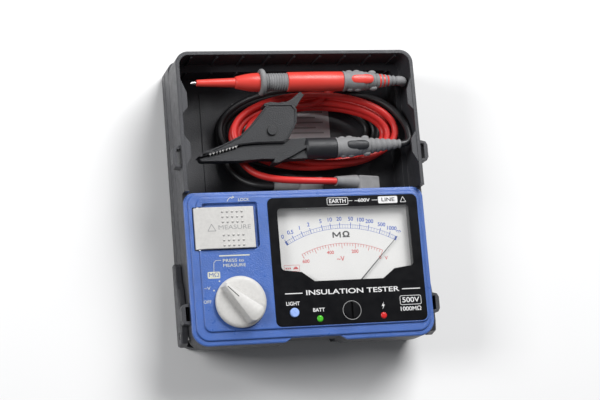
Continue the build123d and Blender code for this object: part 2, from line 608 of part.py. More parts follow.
# ---------------------------------------------------------------- lead sockets and plugs
with BuildPart() as lead_sockets:
    for socket_x in SOCKET_X:
        rod((socket_x, -5.6, SOCKET_Z), (0, 1, 0), SOCKET_R, 8.6)
        rod((socket_x, -0.5, SOCKET_Z), (0, 1, 0), 4.8, 1.5)
        rod((socket_x, -6, SOCKET_Z), (0, 1, 0), PIN_R + RUNNING, 10, Mode.SUBTRACT)
finish(lead_sockets.part, "lead_sockets")

with BuildPart() as plug_pins:
    for socket_x in SOCKET_X:
        rod((socket_x, 6.0, SOCKET_Z), (0, -1, 0), PIN_R, 11.5)
finish(plug_pins.part, "plug_pins")

for socket_x, tilt, plug_name in zip(SOCKET_X, PLUG_TILT, ("earth_plug", "line_plug")):
    arm_x = Vector(-cos(radians(tilt)), 0, sin(radians(tilt)))
    plug_plane = Plane(origin=(socket_x, 3.4, SOCKET_Z), x_dir=arm_x, z_dir=(0, 1, 0))
    with BuildPart() as plug:
        with BuildSketch(plug_plane) as plug_block:
            with Locations((2.6, 0)):
                RectangleRounded(15.4, 10, 1.5)
        extrude(amount=9.0)
        fillet(plug.faces().sort_by(Axis.Y)[-1].edges(), 1.0)
        boot_start = Vector(socket_x, PLUG_Y, SOCKET_Z) + arm_x * 9.8
        turned(boot_start, arm_x, [(0, 4.5), (2.5, 4.3), (10.0, 3.4), (PLUG_ARM - 9.8, 2.9)])
        rod((socket_x, 3, SOCKET_Z), (0, 1, 0), PIN_R, 3.0, Mode.SUBTRACT)
    finish(plug.part, plug_name)

with BuildPart() as tray_label:
    slab((-26, 29), (42.6, 69), (TRAY_FLOOR_Z + 0.5, TRAY_FLOOR_Z + 0.62))
finish(tray_label.part, "tray_label")

# ---------------------------------------------------------------- probe
ALONG_X = (1, 0, 0)
with BuildPart() as probe_tip:
    turned((-65.4, PROBE_Y, PROBE_Z), ALONG_X, [(0, 0.5), (0.8, 1.0), (34, 1.0)])
finish(probe_tip.part, "probe_tip")

with BuildPart() as probe_sleeve:
    turned((-62, PROBE_Y, PROBE_Z), ALONG_X,
           [(0, 1.9), (1.0, 2.1), (23.9, 2.9), (25.4, 4.3), (31, 5.3), (38, 5.8)])
    rod((-63, PROBE_Y, PROBE_Z), ALONG_X, 1.0, 31.6, Mode.SUBTRACT)
finish(probe_sleeve.part, "probe_sleeve")

with BuildPart() as probe_grip:
    turned((-24, PROBE_Y, PROBE_Z), ALONG_X, [(0, 6.6), (2, 6.6), (3, 5.3), (18, 5.3)])
    turned((-23.2, PROBE_Y, PROBE_Z), ALONG_X, [(0, 7.4), (0.8, 8.2), (2.4, 8.2), (3.2, 7.4)])
finish(probe_grip.part, "probe_grip")

with BuildPart() as probe_body:
    turned((-6, PROBE_Y, PROBE_Z), ALONG_X, [(0, 6.0), (35, 6.0)])
finish(probe_body.part, "probe_body")

with BuildPart() as probe_boot:
    turned((29, PROBE_Y, PROBE_Z), ALONG_X,
           [(0, 6.3), (9, 6.3), (20, 5.6), (28, 4.4), (35.6, 3.4)])
    with BuildLine() as boot_bend:
        bend_start = (64.6, PROBE_Y, PROBE_Z)
        bend_end = (RED_END[-1][0], PROBE_Y, RED_END[-1][2])
        TangentArc(bend_start, bend_end, tangent=(1, 0, 0))
    with BuildSketch(boot_bend.line ^ 0):
        Circle(2.9)
    sweep(path=boot_bend.line)
finish(probe_boot.part, "probe_boot")

# ---------------------------------------------------------------- crocodile clip
UPPER_JAW = [(-64.2, 24.2), (-59.7, 27.0), (-49.0, 31.0), (-37.6, 36.5), (-29.7, 43.8),
             (-22.9, 51.7), (-19.5, 55.7), (-4.5, 55.5), (-1.7, 52.0), (-2.3, 43.9),
             (-8.2, 33.6), (-10.9, 31.6), (-28.9, 31.4), (-38.1, 30.6), (-46.9, 28.0),
             (-63.0, 23.9)]
UPPER_NOSE = [(-64.2, 24.2), (-59.7, 27.0), (-49.0, 31.0), (-37.6, 36.5), (-37.6, 30.7),
              (-46.9, 28.0), (-63.0, 23.9)]
UPPER_BACK = [(-29.7, 43.8), (-22.9, 51.7), (-19.5, 55.7), (-4.5, 55.5), (-1.7, 52.0),
              (-2.1, 46.5), (-12.0, 46.5), (-22.0, 45.8)]
LOWER_JAW = [(-63.4, 23.1), (-62.3, 21.5), (-39.1, 21.2), (-24.3, 22.1), (-10.1, 21.4),
             (2.9, 21.8), (2.9, 34.5), (-7.1, 34.0), (-9.8, 31.6), (-27.9, 30.9),
             (-37.2, 30.1), (-46.0, 27.4)]
UPPER_TEETH = [(-62.6, 24.1), (-46.9, 28.1), (-38.4, 30.6), (-38.4, 33.0), (-47.0, 30.3),
               (-60.0, 26.2)]
LOWER_TEETH = [(-62.4, 23.3), (-46.0, 27.3), (-38.4, 29.7), (-38.4, 27.3), (-46.0, 24.8),
               (-61.0, 22.2)]
FIN = [(2.8, 29.8), (3.0, 28.3), (-6.8, 23.2), (-15.8, 19.1), (-18.9, 19.2), (-17.5, 22.2),
       (-6.5, 26.9)]
THUMB_LEVER = [(-21.6, 54.5), (-21.6, 55.9), (-17.8, 57.0), (-12.8, 56.4), (-7.8, 56.8),
               (-3.9, 58.7), (1.4, 63.0), (3.6, 61.0), (0.4, 56.8), (-1.7, 53.6), (-6, 53.6)]
JAW_HALF = 3.5
PLATE_GAP = 3.8
PLATE_HALF = 5.2
TEETH_HALF = 1.2
CLIP_PIN_R = 1.5


def clip_prism(points, half, mode=Mode.ADD):
    """A clip piece: its outline extruded to both sides of the clip's middle plane."""
    prism(Plane.XY.offset(CLIP_Z - half), points, 2 * half, mode)


with BuildPart() as clip_jaw:
    for low in (CLIP_Z - PLATE_HALF, CLIP_Z + PLATE_GAP):
        prism(Plane.XY.offset(low), UPPER_JAW, PLATE_HALF - PLATE_GAP)
    clip_prism(UPPER_NOSE, PLATE_GAP + 0.1)
    clip_prism(UPPER_BACK, PLATE_GAP + 0.1)
    clip_prism(THUMB_LEVER, 4.5)
    clip_prism(UPPER_TEETH, TEETH_HALF, Mode.SUBTRACT)
    rod((*CLIP_PIVOT, CLIP_Z - 8), (0, 0, 1), CLIP_PIN_R + RUNNING, 16, Mode.SUBTRACT)
finish(clip_jaw.part, "clip_jaw")

with BuildPart() as clip_upper_teeth:
    clip_prism(UPPER_TEETH, TEETH_HALF)
finish(clip_upper_teeth.part, "clip_upper_teeth")

EAR = [(-23.0, 29.5), (-12.5, 29.5), (-13.8, 39.0), (-22.6, 39.0)]
with BuildPart() as clip_body:
    clip_prism(LOWER_JAW, JAW_HALF)
    clip_prism(EAR, JAW_HALF)
    rod((*CLIP_PIVOT, CLIP_Z - JAW_HALF), (0, 0, 1), 4.4, 2 * JAW_HALF)
    rod((*CLIP_PIVOT, CLIP_Z - 1.9), (0, 0, 1), 5.6, 3.8, Mode.SUBTRACT)
    clip_prism(FIN, 5.5)
    turned((2.4, 28.5, CLIP_Z), ALONG_X, [(0, 5.6), (1.2, 6.5), (19.1, 6.5)])
    clip_prism(LOWER_TEETH, TEETH_HALF, Mode.SUBTRACT)
    rod((*CLIP_PIVOT, CLIP_Z - 8), (0, 0, 1), CLIP_PIN_R, 16, Mode.SUBTRACT)
finish(clip_body.part, "clip_body")

with BuildPart() as clip_lower_teeth:
    clip_prism(LOWER_TEETH, TEETH_HALF)
finish(clip_lower_teeth.part, "clip_lower_teeth")

with BuildPart() as clip_pin:
    rod((*CLIP_PIVOT, CLIP_Z - 5.6), (0, 0, 1), CLIP_PIN_R, 11.2)
    for end in SIDES:
        rod((*CLIP_PIVOT, CLIP_Z + end * 5.5), (0, 0, end), 2.9, 0.8)
finish(clip_pin.part, "clip_pin")

with BuildPart() as clip_spring:
    rod((*CLIP_PIVOT, CLIP_Z - 1.7), (0, 0, 1), 3.0, 3.4)
    rod((*CLIP_PIVOT, CLIP_Z - 2), (0, 0, 1), CLIP_PIN_R, 4, Mode.SUBTRACT)
finish(clip_spring.part, "clip_spring")

with BuildPart() as clip_boot:
    turned((21.8, 28.5, CLIP_Z), (41.45, 1.7, 0),
           [(0, 6.0), (9.2, 6.0), (19.7, 5.5), (31.7, 3.7), (CLIP_BOOT_X - 21.8, 2.7)])
finish(clip_boot.part, "clip_boot")

# ---------------------------------------------------------------- cords and their coils
for centre, (long_r, short_r), z, coil_name in (
    (RED_COIL, RED_COIL_AXES, RED_COIL_Z, "red_coil"),
    (BLACK_COIL, BLACK_COIL_AXES, BLACK_COIL_Z, "black_coil"),
):
    with BuildPart() as coil:
        with BuildSketch(Plane.XY.offset(z[0])):
            with Locations(centre):
                Ellipse(long_r, short_r)
                Ellipse(long_r - COIL_BAND, short_r - COIL_BAND, mode=Mode.SUBTRACT)
        extrude(amount=z[1] - z[0])
        fillet(coil.faces().filter_by(Plane.XY).edges(), 2.0)
    finish(coil.part, coil_name)

for route, cord_name in (
    (RED_START, "red_cord_start"),
    (RED_END, "red_cord_end"),
    (BLACK_START, "black_cord_start"),
    (BLACK_END, "black_cord_end"),
):
    with BuildPart() as cord:
        cord_tube(cord_name, route)
    print(cord_name, "volume", round(cord.part.volume, 1))
    finish(cord.part, cord_name)
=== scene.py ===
"""Looks of the analogue insulation resistance tester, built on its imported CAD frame."""
import json
from math import atan, cos, radians, sin, sqrt, tau

import bmesh
import bpy
from mathutils import Matrix, Vector


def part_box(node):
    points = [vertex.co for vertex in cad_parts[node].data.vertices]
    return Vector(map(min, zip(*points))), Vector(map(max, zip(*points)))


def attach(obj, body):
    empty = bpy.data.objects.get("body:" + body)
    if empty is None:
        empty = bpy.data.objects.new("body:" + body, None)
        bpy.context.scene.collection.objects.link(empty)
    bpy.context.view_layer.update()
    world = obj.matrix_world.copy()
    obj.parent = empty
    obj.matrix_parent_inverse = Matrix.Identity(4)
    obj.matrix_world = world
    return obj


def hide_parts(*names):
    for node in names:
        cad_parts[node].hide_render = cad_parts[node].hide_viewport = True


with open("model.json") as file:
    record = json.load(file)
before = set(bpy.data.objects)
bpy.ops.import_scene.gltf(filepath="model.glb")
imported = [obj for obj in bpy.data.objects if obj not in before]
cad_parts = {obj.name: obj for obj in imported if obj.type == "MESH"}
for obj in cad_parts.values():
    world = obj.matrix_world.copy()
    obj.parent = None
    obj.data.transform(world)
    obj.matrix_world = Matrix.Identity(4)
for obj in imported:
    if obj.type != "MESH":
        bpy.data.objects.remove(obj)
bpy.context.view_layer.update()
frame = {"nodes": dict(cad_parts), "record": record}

MM = 0.001
NODES = frame["nodes"]

# Printing stands this far above the surface that it is on
PRINT = 0.05
PANEL_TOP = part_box("front_panel")[1][2] / MM
BEZEL_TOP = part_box("bezel")[1][2] / MM
SCALE_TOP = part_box("scale_plate")[1][2] / MM
LABEL_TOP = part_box("tray_label")[1][2] / MM


# ------------------------------------------------------------------ camera
CAMERA_LENS = 104.75
CAMERA_PLACE = Vector((-0.2741, -0.2005, 1.0359))
CAMERA_AIM = Vector((-0.0038, -0.0036, 0.045))
CAMERA_ROLL = radians(4.79)


def make_camera():
    """A long lens high above the panel, a little to its left and below it."""
    data = bpy.data.cameras.new("camera")
    data.lens = CAMERA_LENS
    data.sensor_width = 36
    camera = bpy.data.objects.new("camera", data)
    bpy.context.scene.collection.objects.link(camera)
    forward = (CAMERA_AIM - CAMERA_PLACE).normalized()
    right = forward.cross(Vector((sin(CAMERA_ROLL), cos(CAMERA_ROLL), 0))).normalized()
    up = right.cross(forward)
    turn = Matrix((right, up, -forward)).transposed().to_4x4()
    camera.matrix_world = Matrix.Translation(CAMERA_PLACE) @ turn
    bpy.context.scene.camera = camera


make_camera()


# ------------------------------------------------------------------ materials
def new_material(name):
    """A material with its node tree and its Principled shader."""
    material = bpy.data.materials.new(name)
    material.use_nodes = True
    return material, material.node_tree, material.node_tree.nodes["Principled BSDF"]


def noise(tree, scale, detail=3.0, stretch=None):
    """A noise texture over the object's own coordinates, in metres."""
    where = tree.nodes.new("ShaderNodeTexCoord").outputs["Object"]
    if stretch:
        mapping = tree.nodes.new("ShaderNodeMapping")
        mapping.inputs["Scale"].default_value = stretch
        tree.links.new(where, mapping.inputs["Vector"])
        where = mapping.outputs["Vector"]
    texture = tree.nodes.new("ShaderNodeTexNoise")
    texture.inputs["Scale"].default_value = scale
    texture.inputs["Detail"].default_value = detail
    tree.links.new(where, texture.inputs["Vector"])
    return texture.outputs["Fac"]


def ramp(tree, factor, low, high, start=0.3, end=0.7):
    """A colour that goes from low to high as the factor does."""
    node = tree.nodes.new("ShaderNodeValToRGB")
    node.color_ramp.elements[0].position = start
    node.color_ramp.elements[0].color = (*low, 1)
    node.color_ramp.elements[1].position = end
    node.color_ramp.elements[1].color = (*high, 1)
    tree.links.new(factor, node.inputs["Fac"])
    return node.outputs["Color"]


def spread(tree, factor, low, high):
    """A number that goes from low to high as the factor goes from 0.3 to 0.7."""
    node = tree.nodes.new("ShaderNodeMapRange")
    node.inputs["From Min"].default_value = 0.3
    node.inputs["From Max"].default_value = 0.7
    node.inputs["To Min"].default_value = low
    node.inputs["To Max"].default_value = high
    tree.links.new(factor, node.inputs["Value"])
    return node.outputs["Result"]


def bump(tree, height, strength, distance, edge=0.0):
    """Surface relief, over edges that are softened by a radius in millimetres."""
    node = tree.nodes.new("ShaderNodeBump")
    if edge:
        rounding = tree.nodes.new("ShaderNodeBevel")
        rounding.samples = 4
        rounding.inputs["Radius"].default_value = edge * MM
        tree.links.new(rounding.outputs["Normal"], node.inputs["Normal"])
    node.inputs["Strength"].default_value = strength
    node.inputs["Distance"].default_value = distance * MM
    tree.links.new(height, node.inputs["Height"])
    return node.outputs["Normal"]


def tint(colour, factor):
    """A colour made darker or lighter."""
    return tuple(min(1.0, channel * factor) for channel in colour)


def plastic(name, colour, rough, grain=2600, relief=0.15, mottle=0.08, patch=70, gloss=0.5,
            scuffs=0.0, edge=0.0):
    """Moulded plastic or rubber: fine spark texture, slow colour and sheen variation, scuffs."""
    material, tree, shader = new_material(name)
    slow = noise(tree, patch, 4.0)
    colours = ramp(tree, slow, tint(colour, 1 - mottle), tint(colour, 1 + mottle))
    if scuffs:
        streaks = noise(tree, 240, 6.0, (1.0, 0.12, 1.0))
        mask = spread(tree, streaks, 0.0, scuffs)
        mix = tree.nodes.new("ShaderNodeMix")
        mix.data_type = "RGBA"
        mix.inputs["B"].default_value = (*tint(colour, 1.9), 1)
        tree.links.new(mask, mix.inputs["Factor"])
        tree.links.new(colours, mix.inputs["A"])
        colours = mix.outputs["Result"]
    tree.links.new(colours, shader.inputs["Base Color"])
    tree.links.new(spread(tree, noise(tree, patch * 3, 5.0), rough - 0.06, rough + 0.06),
                   shader.inputs["Roughness"])
    tree.links.new(bump(tree, noise(tree, grain, 2.0), 0.6, relief, edge), shader.inputs["Normal"])
    shader.inputs["Specular IOR Level"].default_value = gloss
    return material


def metal(name, colour, rough, stretch=(1, 1, 1)):
    """Bright metal with a drawn or turned grain."""
    material, tree, shader = new_material(name)
    grain = noise(tree, 900, 4.0, stretch)
    tree.links.new(ramp(tree, grain, tint(colour, 0.85), tint(colour, 1.08)),
                   shader.inputs["Base Color"])
    tree.links.new(spread(tree, grain, rough * 0.7, rough * 1.3), shader.inputs["Roughness"])
    tree.links.new(bump(tree, grain, 0.3, 0.02), shader.inputs["Normal"])
    shader.inputs["Metallic"].default_value = 1.0
    return material


def flat_colour(name, colour):
    """A slightly uneven flat colour: screen print, and in the grey also painted shade and a
    painted highlight.
    """
    material, tree, shader = new_material(name)
    tree.links.new(ramp(tree, noise(tree, 1500, 3.0), tint(colour, 0.86), tint(colour, 1.06)),
                   shader.inputs["Base Color"])
    tree.links.new(spread(tree, noise(tree, 400, 3.0), 0.45, 0.62), shader.inputs["Roughness"])
    return material


def clear_plastic(name):
    """The meter's window: clear, with a soft gloss."""
    material, tree, shader = new_material(name)
    tree.links.new(ramp(tree, noise(tree, 60, 3.0), (0.9, 0.93, 0.95), (1, 1, 1)),
                   shader.inputs["Base Color"])
    tree.links.new(spread(tree, noise(tree, 180, 4.0), 0.04, 0.1), shader.inputs["Roughness"])
    shader.inputs["Alpha"].default_value = 0.05
    shader.inputs["Specular IOR Level"].default_value = 0.5
    return material


def lamp_plastic(name, colour, glow):
    """A translucent coloured lamp body with a little glow."""
    material, tree, shader = new_material(name)
    colours = ramp(tree, noise(tree, 700, 2.0), tint(colour, 0.8), tint(colour, 1.15))
    tree.links.new(colours, shader.inputs["Base Color"])
    tree.links.new(colours, shader.inputs["Emission Color"])
    tree.links.new(spread(tree, noise(tree, 900, 2.0), 0.15, 0.3), shader.inputs["Roughness"])
    shader.inputs["Emission Strength"].default_value = glow
    return material


MATERIAL = {
    "case_grey": plastic("case_plastic", (0.044, 0.045, 0.051), 0.44, 1900, 0.22, 0.10,
                         scuffs=0.05, edge=0.5),
    "panel_blue": plastic("blue_plastic", (0.052, 0.132, 0.43), 0.33, 1500, 0.32, 0.12,
                          gloss=0.7, edge=0.7),
    "bezel_black": plastic("bezel_plastic", (0.0022, 0.0024, 0.0036), 0.36, 2600, 0.05, 0.12,
                           gloss=0.16, edge=0.3),
    "key_white": plastic("key_plastic", (0.60, 0.59, 0.57), 0.45, 1500, 0.22, 0.05, 500),
    "window_clear": clear_plastic("window_plastic"),
    "scale_white": plastic("scale_card", (0.72, 0.715, 0.70), 0.6, 3000, 0.03, 0.02),
    "pointer_black": plastic("pointer_paint", (0.012, 0.012, 0.012), 0.5, 3000, 0.03),
    "steel": metal("steel", (0.62, 0.61, 0.60), 0.28, (1, 0.1, 1)),
    "brass": metal("brass_plate", (0.70, 0.55, 0.30), 0.3, (1, 0.2, 1)),
    "moving_coil": metal("copper_winding", (0.65, 0.35, 0.2), 0.35, (1, 1, 4)),
    "magnet": metal("magnet_iron", (0.15, 0.15, 0.16), 0.5),
    "frame_black": plastic("frame_plastic", (0.03, 0.03, 0.033), 0.55),
    "board_green": plastic("solder_resist", (0.03, 0.15, 0.07), 0.3, 1200, 0.05, 0.25, 300),
    "part_black": plastic("component_plastic", (0.02, 0.02, 0.022), 0.5),
    "button_blue": plastic("light_button_plastic", (0.30, 0.45, 0.88), 0.45, 1400, 0.2, 0.12, 900),
    "lamp_white": lamp_plastic("lamp_lens", (0.9, 0.85, 0.7), 0.0),
    "led_green": lamp_plastic("green_lens", (0.06, 0.42, 0.02), 0.25),
    "led_red": lamp_plastic("red_lens", (0.55, 0.02, 0.02), 0.2),
    "cell_jacket": plastic("cell_jacket_film", (0.05, 0.12, 0.35), 0.3, 2600, 0.03),
    "label_white": plastic("label_film", (0.62, 0.62, 0.63), 0.5, 2600, 0.03, 0.05),
    "lead_red": plastic("red_lead_rubber", (0.66, 0.030, 0.026), 0.42, 1500, 0.12, 0.08, 60),
    "lead_black": plastic("black_lead_rubber", (0.020, 0.020, 0.022), 0.42, 1500, 0.12, 0.1, 60),
    "boot_grey": plastic("boot_rubber", (0.235, 0.235, 0.24), 0.62, 1500, 0.22, 0.09, 250, 0.35),
    "probe_red": plastic("probe_plastic", (0.74, 0.060, 0.045), 0.36, 2600, 0.05, 0.04, 50),
    "clip_black": plastic("clip_plastic", (0.021, 0.022, 0.025), 0.45, 1500, 0.25, 0.14,
                          gloss=0.4, edge=0.5),
}
INK_BLUE = flat_colour("scale_ink_blue", (0.015, 0.09, 0.48))
INK_RED = flat_colour("scale_ink_red", (0.60, 0.05, 0.05))
INK_BLACK = flat_colour("scale_ink_black", (0.015, 0.015, 0.015))
# This grey is print on the tray label, painted shade in the key's engraving and under its pips,
# and a painted highlight round the zero screw.
GREY_PRINT_SHADE_AND_HIGHLIGHT = flat_colour("grey_print_painted_shade_and_highlight", (0.34, 0.34, 0.34))
INK_WHITE = flat_colour("print_ink_white", (0.80, 0.80, 0.80))
INK_CREAM = flat_colour("print_ink_cream", (0.66, 0.66, 0.52))
INK_DARK_BLUE = flat_colour("print_ink_dark_blue", (0.05, 0.11, 0.40))

SLOT_OF = {row["node"]: row["material_slot"] for row in frame["record"]["subparts"]}
for node_name, node in NODES.items():
    for material_slot in node.material_slots:
        material_slot.material = MATERIAL[SLOT_OF[node_name]]


# ------------------------------------------------------------------ building pieces
def settle(piece, body, replaced=()):
    """A finished piece: linked to its body, with the CAD nodes that it stands for hidden."""
    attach(piece, body)
    if replaced:
        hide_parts(*replaced)
    return piece


def piece_from(mesh_data, name, material):
    """A mesh given in millimetres as an object."""
    vertices, faces = mesh_data
    mesh = bpy.data.meshes.new(name)
    mesh.from_pydata([tuple(Vector(v) * MM) for v in vertices], [], faces)
    mesh.materials.append(material)
    mesh.validate()
    build = bmesh.new()
    build.from_mesh(mesh)
    bmesh.ops.recalc_face_normals(build, faces=build.faces)
    build.to_mesh(mesh)
    build.free()
    piece = bpy.data.objects.new(name, mesh)
    bpy.context.scene.collection.objects.link(piece)
    return piece


def smooth(piece, angle=40):
    """Smooth shading that keeps the edges sharper than an angle."""
    mesh = piece.data
    mesh.polygons.foreach_set("use_smooth", [True] * len(mesh.polygons))
    mesh.set_sharp_from_angle(angle=radians(angle))
    return piece


def join(*parts):
    """Several (vertices, faces) as one."""
    vertices, faces = [], []
    for part_vertices, part_faces in parts:
        start = len(vertices)
        vertices += list(part_vertices)
        faces += [tuple(start + index for index in face) for face in part_faces]
    return vertices, faces


def tube(path, radii, segments=40):
    """Rings along a path, each with its own radius, closed at both ends."""
    path = [Vector(p) for p in path]
    vertices, faces = [], []
    side = None
    for index, point in enumerate(path):
        before = path[max(index - 1, 0)]
        after = path[min(index + 1, len(path) - 1)]
        along = (after - before).normalized()
        if side is None:
            side = along.orthogonal().normalized()
        side = (side - along * side.dot(along)).normalized()
        other = along.cross(side)
        for step in range(segments):
            angle = tau * step / segments
            vertices.append(point + radii[index] * (side * cos(angle) + other * sin(angle)))
    for ring in range(len(path) - 1):
        for step in range(segments):
            a = ring * segments + step
            b = ring * segments + (step + 1) % segments
            faces.append((a, b, b + segments, a + segments))
    faces.append(tuple(reversed(range(segments))))
    last = (len(path) - 1) * segments
    faces.append(tuple(range(last, last + segments)))
    return vertices, faces


def turned(start, direction, profile, segments=40):
    """A turned shape: (distance, radius) stations from a point along a direction."""
    start, along = Vector(start), Vector(direction).normalized()
    return tube([start + along * s for s, _ in profile], [r for _, r in profile], segments)


def prism(points, low, high):
    """A flat outline between two heights."""
    count = len(points)
    vertices = [(x, y, low) for x, y in points] + [(x, y, high) for x, y in points]
    faces = [tuple(reversed(range(count))), tuple(range(count, 2 * count))]
    faces += [(i, (i + 1) % count, (i + 1) % count + count, i + count) for i in range(count)]
    return vertices, faces


def bar(start, end, width, z, height=PRINT):
    """A straight printed line."""
    (x0, y0), (x1, y1) = start, end
    length = sqrt((x1 - x0) ** 2 + (y1 - y0) ** 2)
    dx, dy = (x1 - x0) / length * width / 2, (y1 - y0) / length * width / 2
    outline = [(x0 + dy, y0 - dx), (x1 + dy, y1 - dx), (x1 - dy, y1 + dx), (x0 - dy, y0 + dx)]
    return prism(outline, z, z + height)


def bars(points, width, z, closed=False, height=PRINT):
    """Printed lines through a row of points."""
    ends = points[1:] + ([points[0]] if closed else [])
    return [bar(a, b, width, z, height) for a, b in zip(points, ends)]


def rounded(x, y, radius, steps=5):
    """A rounded rectangle's outline from its low and high x and y."""
    corners = [(x[1] - radius, y[1] - radius, 0), (x[0] + radius, y[1] - radius, 90),
               (x[0] + radius, y[0] + radius, 180), (x[1] - radius, y[0] + radius, 270)]
    return [(cx + radius * cos(radians(start + 90 * step / steps)),
             cy + radius * sin(radians(start + 90 * step / steps)))
            for cx, cy, start in corners for step in range(steps + 1)]


def arc(centre, radius, start, end, steps):
    """Points on an arc, by angles in degrees."""
    return [(centre[0] + radius * cos(radians(start + (end - start) * step / steps)),
             centre[1] + radius * sin(radians(start + (end - start) * step / steps)))
            for step in range(steps + 1)]


def printed(parts, name, material, body="case"):
    """Flat marks as one thin piece: print, and also painted shade and painted highlights."""
    return settle(piece_from(join(*parts), name, material), body)


def label(name, text, at, z, capital, material, width=None, turn=0.0, body="case",
          bold=0.0):
    """Printed text: centred at a point, with its capitals' height and, if given, its width."""
    data = bpy.data.curves.new(name, "FONT")
    data.body = text
    data.size = capital / 0.72 * MM
    data.align_x = "CENTER"
    data.align_y = "CENTER"
    data.extrude = PRINT / 2 * MM
    data.offset = bold * MM
    data.materials.append(material)
    piece = bpy.data.objects.new(name, data)
    bpy.context.scene.collection.objects.link(piece)
    bpy.context.view_layer.update()
    if width:
        piece.scale.x = width * MM / piece.dimensions.x
    piece.location = (at[0] * MM, at[1] * MM, (z + PRINT / 2) * MM)
    piece.rotation_euler.z = radians(turn)
    return settle(piece, body)


# ------------------------------------------------------------------ leads
CORD_D = 4.2
RED_START = [(21.4, 8.8, 38.1), (10, 8.7, 41), (-2.5, 9.2, 41), (-15, 11, 37.3),
             (-27, 15.5, 32.5), (-34, 23.5, 29.5)]
RED_END = [(28, 70.5, 28), (38, 73, 28.2), (48, 74, 28.6), (57, 74, 29.2), (64, 73, 31),
           (68.0, 71, 35.4), (69, 69.7, 40.1)]
BLACK_START = [(-14.9, 8.8, 28.3), (-23, 9.6, 26.5), (-31.5, 13, 22.5), (-38.5, 20.5, 18.5),
               (-42.5, 30, 15.8)]
BLACK_END = [(49, 66.5, 20.5), (58, 62.5, 25), (64, 56, 30), (68, 48, 35.5),
             (69.8, 41.8, 39), (70, 37, 40.9), (70, 33, 42), (67.2, 30.2, 42), (63.25, 30.2, 42)]
COIL_STEPS = 16
# Each turn of a coil: centre x and y, half length, half width and height. Then the angle that
# the coil starts at and the angle that it sweeps, clockwise
RED_TURNS = [
    (13.0, 41.2, 51.6, 23.4, 23.4), (15.4, 41.8, 44.6, 17.4, 23.6), (13.0, 41.0, 48.6, 20.4, 27.6),
    (13.4, 41.6, 52.4, 23.6, 31.0), (15.6, 41.6, 45.6, 17.6, 31.1), (14.0, 42.6, 47.6, 22.0, 29.4),
]
BLACK_TURNS = [
    (8.8, 46.2, 53.6, 26.0, 11.6), (9.6, 46.0, 48.6, 21.4, 11.9), (8.6, 46.6, 44.2, 17.2, 12.6),
    (8.8, 46.0, 51.4, 24.2, 16.4), (9.0, 46.2, 53.6, 26.2, 18.0),
]
RED_SWEEP = (197.0, 360 * 4 + 107.0)
BLACK_SWEEP = (193.0, 360 * 4 + 134.0)


def coil_points(turns, start, total):
    """Points of a coil wound clockwise from a start angle, easing from each turn into the next."""
    count = int(total / 360 * COIL_STEPS)
    points = []
    for step in range(count + 1):
        swept = total * step / count
        index = min(int(swept // 360), len(turns) - 2)
        ease = max(0.0, (swept / 360 - index - 0.55) / 0.45)
        ease = min(1.0, ease) ** 2 * (3 - 2 * min(1.0, ease))
        cx, cy, long_r, short_r, z = (
            a + (b - a) * ease for a, b in zip(turns[index], turns[index + 1])
        )
        angle = radians(start - swept)
        points.append((cx + long_r * cos(angle), cy + short_r * sin(angle), z))
    return points


def lead(name, points, material, replaced):
    """A lead as one smooth open spline."""
    data = bpy.data.curves.new(name, "CURVE")
    data.dimensions = "3D"
    data.bevel_depth = CORD_D / 2 * MM
    data.bevel_resolution = 5
    data.resolution_u = 6
    data.use_fill_caps = True
    spline = data.splines.new("NURBS")
    spline.points.add(len(points) - 1)
    for point, place in zip(spline.points, points):
        point.co = (*(Vector(place) * MM), 1)
    spline.order_u = 3
    spline.use_endpoint_u = True
    data.materials.append(material)
    piece = bpy.data.objects.new(name, data)
    bpy.context.scene.collection.objects.link(piece)
    settle(piece, "case", replaced)
    return piece


# ------------------------------------------------------------------ probe
PROBE_Y = 69.7
PROBE_Z = 44.6
ALONG_X = (1, 0, 0)


def probe_at(x):
    """The point of the probe's axis at an x."""
    return (x, PROBE_Y, PROBE_Z)


def rib_stations(start, end, count, radius, depth):
    """Stations of rounded ribs: radius gives the crest's radius at a distance."""
    stations = []
    steps = count * 8
    for step in range(steps + 1):
        s = start + (end - start) * step / steps
        wave = 0.5 + 0.5 * cos(tau * count * step / steps)
        stations.append((s, radius(s) - depth * (1 - wave ** 0.5)))
    return stations


def inlay(centre_x, y, z, half_x, half_y, radius, rise):
    """An oval badge that follows a round body's surface."""
    vertices, faces = [], []
    rings, steps = 5, 32
    for ring in range(1, rings + 1):
        share = ring / rings
        for step in range(steps):
            angle = tau * step / steps
            dx = half_x * share * abs(cos(angle)) ** 0.55 * (1 if cos(angle) > 0 else -1)
            dy = half_y * share * abs(sin(angle)) ** 0.7 * (1 if sin(angle) > 0 else -1)
            height = rise if ring < rings else -0.3
            vertices.append((centre_x + dx, y + dy, z + sqrt(radius ** 2 - dy ** 2) + height))
    vertices.append((centre_x, y, z + radius + rise))
    for ring in range(rings - 1):
        for step in range(steps):
            a, b = ring * steps + step, ring * steps + (step + 1) % steps
            faces.append((a, b, b + steps, a + steps))
    faces += [(len(vertices) - 1, (step + 1) % steps, step) for step in range(steps)]
    return vertices, faces


BOOT_R = 6.05


def boot_shape(start, length, bend=None):
    """A lead's boot: collar, plain waist, rounded ribs and a tapering end, bent if asked."""
    def waist(s):
        return BOOT_R if s < 12 else BOOT_R - (s - 12) * 3.25 / (length - 12)

    stations = [(0, 5.6), (0.25, 6.25), (1.2, 6.3), (2.0, 5.85), (3.2, 5.75), (4.5, 5.95)]
    stations += [(5 + step, BOOT_R) for step in range(8)]
    stations += rib_stations(13, 20, 3, waist, 0.28)[1:]
    stations += rib_stations(20, length, 6, waist, 0.7)[1:]
    path = [Vector(start) + Vector((s, 0, 0)) for s, _ in stations]
    radii = [r for _, r in stations]
    if bend:
        for step in range(1, 9):
            angle = radians(90 * step / 8)
            path.append(path[len(stations) - 1] + Vector((bend * sin(angle), 0,
                                                          bend * (cos(angle) - 1))))
            radii.append(2.85 + (0.12 if step % 2 else -0.12))
    return tube(path, radii, 36)


